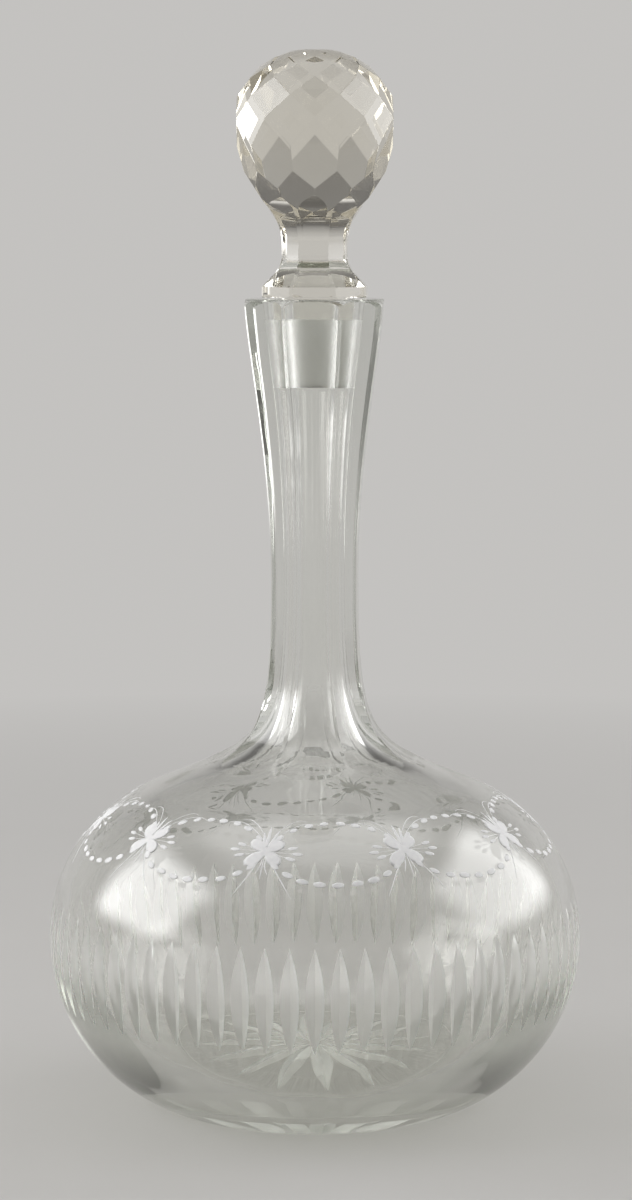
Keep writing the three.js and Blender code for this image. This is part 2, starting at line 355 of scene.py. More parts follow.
@dataclass(frozen=True)
class Bend:
    """One curve of an outline, between two places with a direction and a pull at each."""

    start: Vector
    start_angle: float
    start_pull: float
    end: Vector
    end_angle: float
    end_pull: float
    steps: int

    def points(self) -> list[Vector]:
        """Work out the curve.

        Returns:
            Points along it, both ends included.
        """
        leave = heading(self.start_angle) * self.start_pull
        arrive = heading(self.end_angle) * self.end_pull
        corners = [self.start, self.start + leave, self.end - arrive, self.end]
        found = interpolate_bezier(*[corner.to_3d() for corner in corners], self.steps + 1)
        return [point.to_2d() for point in found]


def chained(bends: Sequence[Bend]) -> list[Vector]:
    """Join curves that each start where the one before it ends.

    Args:
        bends: The curves in order.

    Returns:
        Points along all of them, with each meeting place once.
    """
    points = bends[0].points()
    for bend in bends[1:]:
        points.extend(bend.points()[1:])
    return points


def smoothstep(value: float, low: float, high: float) -> float:
    """Share of the way from low to high, with soft ends."""
    share = min(max((value - low) / (high - low), 0.0), 1.0)
    return share * share * (3 - 2 * share)


# Finishes: what light does in and on each kind of glass.


class Maths(Enum):
    """How a node puts two values together."""

    PLUS = "ADD"
    TIMES = "MULTIPLY"
    GREATER = "MAXIMUM"
    ABOVE = "GREATER_THAN"
    FOLDED = "PINGPONG"


class Recipe:
    """A node tree while it is being put together, for a finish, a lamp or the room."""

    def __init__(self, tree: bpy.types.NodeTree) -> None:
        """Go on from the nodes that the tree has."""
        self.tree = tree

    def node(self, kind: str, **settings: Any) -> bpy.types.Node:
        """Add a node.

        Args:
            kind: The node's type.
            settings: Its properties, such as an operation.

        Returns:
            The node.
        """
        made = self.tree.nodes.new(kind)
        for key, value in settings.items():
            setattr(made, key, value)
        return made

    def link(self, source: Socket, target: Socket) -> None:
        """Link an output to an input."""
        self.tree.links.new(source, target)

    def place(self, kind: str = "Object") -> Socket:
        """Where a point is, in one of the kinds of coordinates."""
        return self.node("ShaderNodeTexCoord").outputs[kind]

    def along(self, place: Socket, axis: str) -> Socket:
        """Take one coordinate of a place.

        Args:
            place: The place.
            axis: X, Y or Z.

        Returns:
            The coordinate.
        """
        made = self.node("ShaderNodeSeparateXYZ")
        self.link(place, made.inputs["Vector"])
        return made.outputs[axis]

    def noise(self, scale: float, detail: float, roughness: float = 0.5) -> Socket:
        """Noise on object coordinates.

        Args:
            scale: Repeats per metre.
            detail: Octaves.
            roughness: Strength of the fine octaves.

        Returns:
            The noise's value.
        """
        made = self.node("ShaderNodeTexNoise")
        made.inputs["Scale"].default_value = scale
        made.inputs["Detail"].default_value = detail
        made.inputs["Roughness"].default_value = roughness
        self.link(self.place(), made.inputs["Vector"])
        return made.outputs["Fac"]

    def ranged(self, source: Socket, span: Span = WHOLE, to: Span = WHOLE, soft: bool = False) -> Socket:
        """Map a value's range to another, clamped.

        Args:
            source: The value.
            span: Start and end of its range.
            to: What the start and the end become.
            soft: Whether it eases in and out.

        Returns:
            The mapped value.
        """
        made = self.node("ShaderNodeMapRange", interpolation_type="SMOOTHSTEP" if soft else "LINEAR")
        for name, value in zip(("From Min", "From Max", "To Min", "To Max"), (*span, *to)):
            made.inputs[name].default_value = value
        self.link(source, made.inputs["Value"])
        return made.outputs["Result"]

    def maths(self, how: Maths, first: Socket, second: Socket | float) -> Socket:
        """Put two values together.

        Args:
            how: The operation.
            first: The first value.
            second: The second value, or a plain number.

        Returns:
            The result.
        """
        made = self.node("ShaderNodeMath", operation=how.value)
        self.link(first, made.inputs[0])
        if isinstance(second, Socket):
            self.link(second, made.inputs[1])
        else:
            made.inputs[1].default_value = second
        return made.outputs["Value"]

    def tones(self, share: Socket, low: Colour, high: Colour) -> Socket:
        """Mix two colours.

        Args:
            share: Share of the second, from 0 to 1.
            low: The first colour.
            high: The second colour.

        Returns:
            The mixed colour.
        """
        made = self.node("ShaderNodeMix", data_type="RGBA")
        ends = [socket for socket in made.inputs if socket.type == "RGBA"]
        for socket, colour in zip(ends, (low, high)):
            socket.default_value = (*colour, 1.0)
        self.link(share, made.inputs["Factor"])
        return next(socket for socket in made.outputs if socket.type == "RGBA")

    def mixed(self, share: Socket, first: Socket, second: Socket) -> Socket:
        """Mix two shaders.

        Args:
            share: Share of the second, from 0 to 1.
            first: The first shader.
            second: The second shader.

        Returns:
            The mixed shader.
        """
        made = self.node("ShaderNodeMixShader")
        for source, target in zip((share, first, second), made.inputs):
            self.link(source, target)
        return made.outputs["Shader"]

    def bump(self, source: Socket, distance: float) -> Socket:
        """Raise the surface by a height.

        Args:
            source: The height, from 0 to 1.
            distance: What a height of 1 means, in metres.

        Returns:
            The new normal.
        """
        made = self.node("ShaderNodeBump")
        made.inputs["Distance"].default_value = distance
        self.link(source, made.inputs["Height"])
        return made.outputs["Normal"]


class Finish(Recipe):
    """A material while it is being put together."""

    def __init__(self, name: str, ior: float = 1.5) -> None:
        """Start a material with its output and its main shader.

        Args:
            name: Name of the material.
            ior: How strongly it bends light.
        """
        self.material = bpy.data.materials.new(name)
        self.material.use_nodes = True
        super().__init__(self.material.node_tree)
        self.tree.nodes.clear()
        self.output = self.node("ShaderNodeOutputMaterial")
        shader = self.node("ShaderNodeBsdfPrincipled")
        shader.inputs["IOR"].default_value = ior
        self.look = shader.inputs
        self.surface = shader.outputs["BSDF"]

    def lit_through(self, light: Colour, last_bounce: int, last_mirror: int) -> None:
        """Let soft light and the lamps' reach what is behind the surface.

        Light that is caught in the glass goes straight on after a number of bounces, so that it
        ends in the room, as it does in real glass, and not in the dark.

        Args:
            light: Share of the lamps' light that each surface lets through.
            last_bounce: How often light bounces or bends before it goes straight on.
            last_mirror: How often it is mirrored before it does.
        """
        path = self.node("ShaderNodeLightPath").outputs
        clear = self.node("ShaderNodeBsdfTransparent")
        clear.inputs["Color"].default_value = (*light, 1.0)
        straight = self.maths(Maths.GREATER, path["Is Shadow Ray"], path["Is Diffuse Ray"])
        for depth, last in (("Ray Depth", last_bounce), ("Glossy Depth", last_mirror)):
            caught = self.maths(Maths.ABOVE, path[depth], last)
            straight = self.maths(Maths.GREATER, straight, caught)
        self.surface = self.mixed(straight, self.surface, clear.outputs["BSDF"])

    def absorb(self, tint: Colour, density: float) -> None:
        """Darken light by the way that it goes inside.

        Args:
            tint: Colour that thick glass takes.
            density: Strength for each metre.
        """
        inside = self.node("ShaderNodeVolumeAbsorption")
        inside.inputs["Color"].default_value = (*tint, 1.0)
        inside.inputs["Density"].default_value = density
        self.link(inside.outputs["Volume"], self.output.inputs["Volume"])

    def done(self) -> bpy.types.Material:
        """Link the surface to the output and hand over the material."""
        self.link(self.surface, self.output.inputs["Surface"])
        return self.material


@dataclass(frozen=True)
class ClearGlass:
    """Polished lead glass: faint waves, cuts that scatter a little, and a worn edge where it stands."""

    name: str
    tint: Colour
    streak: Colour
    depth_tint: Colour
    depth_density: float
    ior: float = 1.54
    streak_scale: float = 55.0 / 3
    streak_span: Span = (0.35, 0.65)
    wave_scale: float = 55.0
    wave_height: float = 0.00022
    film_scale: float = 330.0
    film_span: Span = (0.45, 0.75)
    film_roughness: Span = (0.0, 0.03)
    cut_roughness: float = 0.3
    cut_clearness: float = 0.8
    worn_height: float = 0.0012
    worn_roughness: float = 0.32
    lamp_light: Colour = (0.95, 0.95, 0.94)
    last_bounce: int = 7
    last_mirror: int = 3

    def material(self) -> bpy.types.Material:
        """Make the material.

        Returns:
            The material, ready to use.
        """
        recipe = Finish(self.name, self.ior)
        streaks = recipe.ranged(recipe.noise(self.streak_scale, detail=3.0), self.streak_span)
        recipe.link(recipe.tones(streaks, self.tint, self.streak), recipe.look["Base Color"])
        dust = recipe.noise(self.film_scale, detail=4.0)
        film = recipe.ranged(dust, self.film_span, self.film_roughness)
        height = recipe.along(recipe.place(), "Z")
        worn = recipe.ranged(height, (0.0, self.worn_height), (self.worn_roughness, 0.0))
        mark = recipe.node("ShaderNodeAttribute", attribute_name=CUT_MARK).outputs["Fac"]
        cut = recipe.ranged(mark, to=(0.0, self.cut_roughness))
        roughness = recipe.maths(Maths.PLUS, recipe.maths(Maths.PLUS, film, worn), cut)
        recipe.link(roughness, recipe.look["Roughness"])
        recipe.link(recipe.ranged(mark, to=(1.0, self.cut_clearness)), recipe.look["Transmission Weight"])
        waves = recipe.noise(self.wave_scale, detail=1.0)
        recipe.link(recipe.bump(waves, self.wave_height), recipe.look["Normal"])
        recipe.lit_through(self.lamp_light, self.last_bounce, self.last_mirror)
        recipe.absorb(self.depth_tint, self.depth_density)
        return recipe.done()


@dataclass(frozen=True)
class GroundGlass:
    """Glass ground with fine grit, which is matt and milky."""

    name: str
    tint: Colour
    shade: Colour
    transmission: float
    roughness: Span
    ior: float = 1.54
    grit_scale: float = 2600.0
    grit_fineness: float = 0.7
    grit_height: float = 0.00004
    patch_scale: float = 320.0
    span: Span = (0.3, 0.7)

    def material(self) -> bpy.types.Material:
        """Make the material.

        Returns:
            The material, ready to use.
        """
        recipe = Finish(self.name, self.ior)
        recipe.look["Transmission Weight"].default_value = self.transmission
        patches = recipe.ranged(recipe.noise(self.patch_scale, detail=3.0), self.span)
        recipe.link(recipe.tones(patches, self.shade, self.tint), recipe.look["Base Color"])
        grit = recipe.noise(self.grit_scale, detail=3.0, roughness=self.grit_fineness)
        recipe.link(recipe.ranged(grit, self.span, self.roughness), recipe.look["Roughness"])
        recipe.link(recipe.bump(grit, self.grit_height), recipe.look["Normal"])
        return recipe.done()


@dataclass(frozen=True)
class PaleFloor:
    """Plain matt studio floor that shows as an even ground far from the decanter."""

    name: str = "pale_floor"
    colour: Colour = (0.57, 0.56, 0.545)
    shade: Colour = (0.55, 0.54, 0.525)
    far: Colour = (0.55, 0.54, 0.526)
    fade: Span = (0.2, 0.8)
    roughness: Span = (0.55, 0.65)
    grain_scale: float = 40.0

    def material(self) -> bpy.types.Material:
        """Make the material.

        Returns:
            The material, ready to use.
        """
        recipe = Finish(self.name)
        grain = recipe.noise(self.grain_scale, detail=4.0)
        recipe.link(recipe.tones(grain, self.shade, self.colour), recipe.look["Base Color"])
        recipe.link(recipe.ranged(grain, to=self.roughness), recipe.look["Roughness"])
        away = recipe.node("ShaderNodeVectorMath", operation="LENGTH")
        recipe.link(recipe.place(), away.inputs[0])
        path = recipe.node("ShaderNodeLightPath").outputs
        seen = recipe.maths(Maths.GREATER, path["Is Camera Ray"], path["Is Glossy Ray"])
        seen = recipe.maths(Maths.GREATER, seen, path["Is Transmission Ray"])
        share = recipe.maths(Maths.TIMES, recipe.ranged(away.outputs["Value"], self.fade), seen)
        backdrop = recipe.node("ShaderNodeEmission")
        backdrop.inputs["Color"].default_value = (*self.far, 1.0)
        recipe.surface = recipe.mixed(share, recipe.surface, backdrop.outputs["Emission"])
        return recipe.done()


BOTTLE_GLASS = ClearGlass(
    name="bottle_glass",
    tint=(0.985, 0.985, 0.975),
    streak=(0.955, 0.955, 0.94),
    depth_tint=(0.72, 0.74, 0.70),
    depth_density=22.0,
)
STOPPER_GLASS = ClearGlass(
    name="stopper_glass",
    tint=(0.985, 0.98, 0.96),
    streak=(0.96, 0.95, 0.915),
    depth_tint=(0.80, 0.74, 0.58),
    depth_density=10.0,
    wave_height=0.00006,
    worn_roughness=0.0,
)
SEAT_GLASS = GroundGlass(
    name="ground_seat",
    tint=(0.93, 0.93, 0.91),
    shade=(0.88, 0.88, 0.85),
    transmission=0.92,
    roughness=(0.28, 0.42),
)
ENGRAVED_GLASS = GroundGlass(
    name="engraved_glass",
    tint=(0.96, 0.96, 0.96),
    shade=(0.88, 0.88, 0.89),
    transmission=0.0,
    roughness=(0.7, 0.95),
    grit_scale=3400.0,
    patch_scale=900.0,
)


# The bottle.


@dataclass(frozen=True)
class NeckSlices:
    """Flat cuts round a turned form, with a narrow strip of round glass left between them."""

    count: int = 8
    turn: float = -2.75
    strip: float = 1.0
    clearance: float = 0.15
    reach: float = 12.0
    wedge_reach: float = 1.2
    overlap: float = 1.0

    def distance(self, radius: float) -> float:
        """Distance from the axis to the flat on round glass of a radius, in millimetres."""
        half_pitch = math.pi / self.count
        return radius * math.cos(half_pitch - math.asin(self.strip / 2 / radius))

    def cutter(self, line: Sequence[Vector]) -> bpy.types.Object:
        """Make the ring of cutters that leave a line standing on each flat.

        Args:
            line: Points (distance, height) of the flat, from its lower end up.

        Returns:
            One object with every cutter.
        """
        outside = max(point.x for point in line) + self.reach
        section = [*line, Vector((outside, line[-1].y)), Vector((outside, line[0].y))]
        half = outside * math.tan(math.pi / self.count)
        side = [Vector((point.x, -half, point.y)) * MM for point in section]
        slab = pulled("slice", side, Vector((0, 2 * half * MM, 0)))
        far = outside * self.wedge_reach
        spread = far * math.tan(math.pi / self.count - math.radians(self.clearance))
        low, high = line[0].y - self.overlap, line[-1].y + self.overlap
        corners = [Vector((0, 0, low)), Vector((far, -spread, low)), Vector((far, spread, low))]
        wedge = pulled("wedge", [corner * MM for corner in corners], Vector((0, 0, high - low)) * MM)
        worked(slab, wedge, Joining.COMMON)
        aimed(slab, self.turn)
        return ringed(slab, self.count)


@dataclass(frozen=True)
class Steps:
    """Steps along each curve of the bottle."""

    foot: int = 30
    belly: int = 26
    sweep: int = 34
    neck: int = 16
    lip: int = 8
    mouth: int = 4
    bore: int = 10
    inner_sweep: int = 30
    inner_belly: int = 20
    heel: int = 34
    star: int = 10


@dataclass
class DecanterBody:
    """The bottle: turned outside and inside, sliced, fluted and starred."""

    foot_radius: float = 40.3
    foot_slope: float = 17.0
    belly_radius: float = 71.7
    belly_rise: float = 45.8
    shoulder_radius: float = 45.0
    shoulder_rise: float = 40.1
    shoulder_slope: float = 23.0
    waist_radius: float = 12.3
    waist_rise: float = 56.6
    rim_radius: float = 19.6
    rim_rise: float = 74.5
    rim_flare: float = 4.5
    lip_round: float = 2.0
    mouth_round: float = 0.7
    foot_fullness: float = 0.44
    belly_fullness_below: float = 0.57
    belly_fullness_above: float = 0.675
    shoulder_fullness: float = 0.19
    sweep_fullness: float = 0.95
    waist_fullness_below: float = 0.82
    waist_fullness_above: float = 0.42
    rim_fullness: float = 0.21
    floor_thickness: float = 9.0
    floor_radius: float = 40.0
    heel_fullness_below: float = 0.22
    heel_fullness_above: float = 0.54
    foot_rings: tuple[float, ...] = (0.0, 0.35, 0.7)
    floor_rings: tuple[float, ...] = (0.66, 0.33, 0.0)
    belly_wall: float = 4.3
    shoulder_wall: float = 4.6
    bore_radius: float = 5.2
    seat_top_radius: float = 9.0
    seat_bottom_radius: float = 6.66
    seat_depth: float = 24.3
    ground_top: float = 4.9
    ground_bottom: float = 22.9
    ground_margin: float = 0.2
    slice_fade_radius: float = 25.0
    slice_end_radius: float = 31.0
    slice_overrun: float = 3.0
    flute_count: int = 70
    flute_above: float = 10.0
    flute_below: float = 17.6
    flute_angle: float = 104.0
    flute_lift: float = 0.35
    flute_overrun: float = 2.0
    star_arms: int = 16
    star_turn: float = 5.6
    star_radius: float = 34.5
    star_heart: float = 1.5
    star_depth: float = 1.9
    star_angle: float = 112.0
    star_clearance: float = 0.2
    cut_sink: float = 0.05
    sides: int = 280
    steps: Steps = Steps()
    slices: NeckSlices = NeckSlices()

    @property
    def shoulder_height(self) -> float:
        """Height of the shoulder above the foot."""
        return self.belly_rise + self.shoulder_rise

    @property
    def waist_height(self) -> float:
        """Height of the neck's narrowest place."""
        return self.shoulder_height + self.waist_rise

    @property
    def rim_height(self) -> float:
        """Height of the rim."""
        return self.waist_height + self.rim_rise

    def side(self) -> list[Vector]:
        """Outline from the edge of the foot to the foot of the lip.

        Returns:
            Points (radius, height) in millimetres.
        """
        up = QUARTER
        inwards = math.radians(180 - self.shoulder_slope)
        foot = Vector((self.foot_radius, 0.0))
        belly = Vector((self.belly_radius, self.belly_rise))
        shoulder = Vector((self.shoulder_radius, self.shoulder_height))
        waist = Vector((self.waist_radius, self.waist_height))
        rim = Vector((self.rim_radius, self.rim_height - self.lip_round))
        return chained([
            Bend(foot, math.radians(self.foot_slope), self.foot_fullness * (belly.x - foot.x),
                 belly, up, self.belly_fullness_below * self.belly_rise, self.steps.foot),
            Bend(belly, up, self.belly_fullness_above * self.shoulder_rise,
                 shoulder, inwards, self.shoulder_fullness * (belly.x - shoulder.x), self.steps.belly),
            Bend(shoulder, inwards, self.sweep_fullness * (shoulder.x - waist.x),
                 waist, up, self.waist_fullness_below * self.waist_rise, self.steps.sweep),
            Bend(waist, up, self.waist_fullness_above * self.rim_rise,
                 rim, math.radians(90 - self.rim_flare), self.rim_fullness * self.rim_rise,
                 self.steps.neck),
        ])

    def lip(self) -> list[Vector]:
        """Rounded lip and rim, over to the mouth.

        Returns:
            Points (radius, height) in millimetres.
        """
        points = []
        for i in range(1, self.steps.lip + 1):
            angle = QUARTER * i / self.steps.lip
            points.append(Vector((
                self.rim_radius - self.lip_round * (1 - math.cos(angle)),
                self.rim_height - self.lip_round * (1 - math.sin(angle)),
            )))
        for i in range(self.steps.mouth + 1):
            angle = QUARTER * i / self.steps.mouth
            points.append(Vector((
                self.seat_top_radius + self.mouth_round * (1 - math.sin(angle)),
                self.rim_height - self.mouth_round * (1 - math.cos(angle)),
            )))
        return points

    def hollow(self) -> list[Vector]:
        """Inside from the mouth down to the middle of the floor.

        Returns:
            Points (radius, height) in millimetres.
        """
        down = -QUARTER
        slope = math.radians(self.shoulder_slope)
        shoulder = Vector((
            self.shoulder_radius - self.shoulder_wall * math.sin(slope),
            self.shoulder_height - self.shoulder_wall * math.cos(slope),
        ))
        belly = Vector((self.belly_radius - self.belly_wall, self.belly_rise))
        waist = Vector((self.bore_radius, self.waist_height))
        floor = Vector((self.floor_radius, self.floor_thickness))
        narrowing = self.seat_bottom_radius - self.seat_top_radius
        taper = []
        for depth in (self.ground_top, self.ground_bottom, self.seat_depth):
            radius = self.seat_top_radius + narrowing * (depth / self.seat_depth)
            taper.append(Vector((radius, self.rim_height - depth)))
        socket = taper[-1]
        lean = math.atan2(-self.seat_depth, narrowing)
        return [*taper, *chained([
            Bend(socket, lean, self.rim_fullness * (socket.y - waist.y),
                 waist, down, self.waist_fullness_above * (socket.y - waist.y), self.steps.bore),
            Bend(waist, down, self.waist_fullness_below * (waist.y - shoulder.y),
                 shoulder, -slope, self.sweep_fullness * (shoulder.x - waist.x),
                 self.steps.inner_sweep),
            Bend(shoulder, -slope, self.shoulder_fullness * (belly.x - shoulder.x),
                 belly, down, self.belly_fullness_above * (shoulder.y - belly.y),
                 self.steps.inner_belly),
            Bend(belly, down, self.heel_fullness_above * (belly.y - floor.y),
                 floor, math.pi, self.heel_fullness_below * (belly.x - floor.x), self.steps.heel),
        ])[1:], *[Vector((floor.x * share, floor.y)) for share in self.floor_rings]]

    def blank(self) -> bpy.types.Object:
        """Turn the bottle, before it is cut.

        Returns:
            The round bottle, hollow and open at the mouth.
        """
        base = [Vector((self.foot_radius * share, 0.0)) for share in self.foot_rings]
        profile = [*base, *self.side(), *self.lip(), *self.hollow()]
        return turned("decanter_glass", placed(profile), self.sides)

    def slice_cutters(self) -> bpy.types.Object:
        """Cutters of the neck: they leave the shoulder, sink to full depth and run past the rim.

        Returns:
            One object with every cutter.
        """
        line = []
        for point in self.side():
            if point.y > self.shoulder_height and point.x < self.slice_end_radius:
                fade = smoothstep(point.x, self.slice_fade_radius, self.slice_end_radius)
                flat = self.slices.distance(point.x)
                line.append(Vector((flat + (point.x - flat) * fade, point.y)))
        run = self.lip_round + self.slice_overrun
        line.append(line[-1] + Vector((math.tan(math.radians(self.rim_flare)) * run, run)))
        return self.slices.cutter(line)

    def radius_at(self, height: float) -> float:
        """Radius of the outside at a height.

        Args:
            height: Height above the foot in millimetres.

        Returns:
            The radius in millimetres.
        """
        side = self.side()
        for low, high in zip(side, side[1:]):
            if low.y <= height <= high.y:
                return low.x + (high.x - low.x) * (height - low.y) / (high.y - low.y)
        return side[-1].x

    def flute_cutters(self) -> bpy.types.Object:
        """Cutters of the flutes: V grooves with a straight ridge between two places on the side.

        Returns:
            One object with every cutter.
        """
        high_z, low_z = self.belly_rise + self.flute_above, self.belly_rise - self.flute_below
        high = Vector((self.radius_at(high_z), high_z))
        low = Vector((self.radius_at(low_z), low_z))
        run = (high - low).normalized()
        outwards = Vector((run.y, -run.x))
        depth = max((point - low).dot(outwards) for point in self.side() if low_z < point.y < high_z)
        top = depth + self.flute_lift
        spread = top * math.tan(math.radians(self.flute_angle / 2))
        start, end = low - run * self.flute_overrun, high + run * self.flute_overrun
        back = start + outwards * top
        section = [
            Vector((start.x, 0.0, start.y)) * MM,
            Vector((back.x, -spread, back.y)) * MM,
            Vector((back.x, spread, back.y)) * MM,
        ]
        along = (end - start) * MM
        cutter = pulled("flute", section, Vector((along.x, 0.0, along.y)))
        aimed(cutter, 0.0)
        return ringed(cutter, self.flute_count)

    def star_cutters(self, first: int) -> bpy.types.Object:
        """Cutters of every second arm of the star, as neighbours would overlap near its heart.

        Each arm is a leaf-shaped V groove from below, deepest half way out.

        Args:
            first: Number of the first arm, 0 or 1.

        Returns:
            One object with half of the arms.
        """
        spread = math.tan(math.radians(self.star_angle / 2))
        below = self.star_clearance
        corners = []
        for i in range(self.steps.star + 1):
            share = i / self.steps.star
            out = self.star_heart + (self.star_radius - self.star_heart) * share
            depth = self.star_depth * 4 * share * (1 - share)
            wide = (depth + below) * spread
            corners.extend([
                Vector((out, 0.0, depth)) * MM,
                Vector((out, wide, -below)) * MM,
                Vector((out, -wide, -below)) * MM,
            ])
        cutter = hulled("star_arm", corners)
        aimed(cutter, self.star_turn + first * 360 / self.star_arms)
        return ringed(cutter, self.star_arms // 2)

    def is_ground(self, distance: float, height: float) -> bool:
        """Whether a face in the mouth is ground, by its middle's distance and height."""
        inside = distance < self.seat_top_radius + self.ground_margin
        return inside and self.ground_top < self.rim_height - height < self.ground_bottom

    def is_cut(self, distance: float, height: float) -> bool:
        """Whether a face lies in a flute or in the star.

        Args:
            distance: Distance of its middle from the axis in millimetres.
            height: Height of its middle above the foot in millimetres.

        Returns:
            True where a cutter made the face.
        """
        if height < self.star_depth:
            return height > self.cut_sink and distance < self.star_radius
        in_belt = -self.flute_below < height - self.belly_rise < self.flute_above
        return in_belt and self.cut_sink < self.radius_at(height) - distance < self.belly_wall / 2

    def build(self, glass: bpy.types.Material, ground: bpy.types.Material) -> bpy.types.Object:
        """Make the bottle and dress it.

        Args:
            glass: Material of the polished glass.
            ground: Material of the ground mouth.

        Returns:
            The finished bottle.
        """
        body = self.blank()
        cutters = [self.slice_cutters(), self.flute_cutters(), self.star_cutters(0)]
        worked(body, gathered("cutters", cutters), Joining.CUT)
        worked(body, self.star_cutters(1), Joining.CUT)
        shaded(body)
        coated(body, glass, ground)
        mark = body.data.attributes.new(CUT_MARK, "FLOAT", "FACE")
        for face in body.data.polygons:
            centre = face.center / MM
            distance = math.hypot(centre.x, centre.y)
            face.material_index = int(self.is_ground(distance, centre.z))
            mark.data[face.index].value = float(self.is_cut(distance, centre.z))
        return body


# The stopper.


@dataclass(frozen=True)
class Globe:
    """Ball of ten-sided rows of diamond facets, with long facets that taper to the stem."""

    radius: float = 21.75
    count: int = 10
    crown: float = 0.85
    rows: int = 6
    table_height: float = 17.9
    lower_angle: float = 15.5
    taper_angle: float = 33.3
    taper_drop: float = 11.1
    end_radius: float = 8.15
    edge: float = 0.11
    edge_angle: float = 3.0

    @property
    def taper_reach(self) -> float:
        """Distance from the axis that the taper's facets would have at the equator."""
        upright = self.radius * math.cos(math.pi / self.count)
        return upright + math.tan(math.radians(self.taper_angle)) * self.taper_drop

    def drop_to(self, distance: float) -> float:
        """How far below the equator the taper's facets come down to a distance from the axis."""
        return (self.taper_reach - distance) / math.tan(math.radians(self.taper_angle))

    def ring(self, radius: float, height: float, offset: float) -> list[Vector]:
        """Corners of one ring.

        Args:
            radius: Distance from the axis.
            height: Height from the equator.
            offset: Turn, as a share of the pitch.

        Returns:
            The corners in millimetres.
        """
        corners = []
        for i in range(self.count):
            angle = (i + offset) * math.tau / self.count - QUARTER
            corners.append(Vector((radius * math.cos(angle), radius * math.sin(angle), height)))
        return corners

    def corners(self) -> list[Vector]:
        """Every corner: each row's latitude follows from the two below it, so that facets stay flat.

        Returns:
            The corners in millimetres, with heights from the equator.
        """
        pinch = math.cos(math.pi / self.count)
        found = self.ring(self.radius, 0.0, 0.0)
        before, here = 0.0, math.pi / self.count
        for row in range(1, self.rows + 2):
            height = self.crown * self.radius * math.sin(here)
            found += self.ring(self.radius * math.cos(here), height, (row % 2) / 2)
            inwards = math.cos(before) - pinch * math.cos(here)
            lean = math.atan2(inwards, math.sin(here) - math.sin(before))
            before, here = here, 2 * lean - before
        upright = self.radius * pinch
        kite = math.tan(math.radians(self.lower_angle))
        taper = math.tan(math.radians(self.taper_angle))
        reach = self.taper_reach
        side_drop = (self.radius - upright * pinch) / kite
        tip_drop = (reach - self.radius / pinch) / (taper - kite / pinch)
        v_drop = (reach / pinch - self.radius) / (taper / pinch - kite)
        found += self.ring(upright, -side_drop, 0.5)
        found += self.ring((self.radius - kite * tip_drop) / pinch, -tip_drop, 0.5)
        found += self.ring(self.radius - kite * v_drop, -v_drop, 0.0)
        found += self.ring(self.end_radius / pinch, -self.drop_to(self.end_radius), 0.0)
        return found

    def build(self, equator: float) -> bpy.types.Object:
        """Cut the globe.

        Args:
            equator: Height of its widest place in millimetres.

        Returns:
            The faceted ball, with its table on top and finely broken edges.
        """
        ball = hulled("globe", [(corner + Vector((0, 0, equator))) * MM for corner in self.corners()])
        open_mesh(ball)
        table = Vector((0, 0, equator + self.table_height)) * MM
        bpy.ops.mesh.bisect(plane_co=table, plane_no=(0, 0, 1), use_fill=True, clear_outer=True)
        close_mesh()
        softened(ball, self.edge * MM, math.radians(self.edge_angle))
        return ball


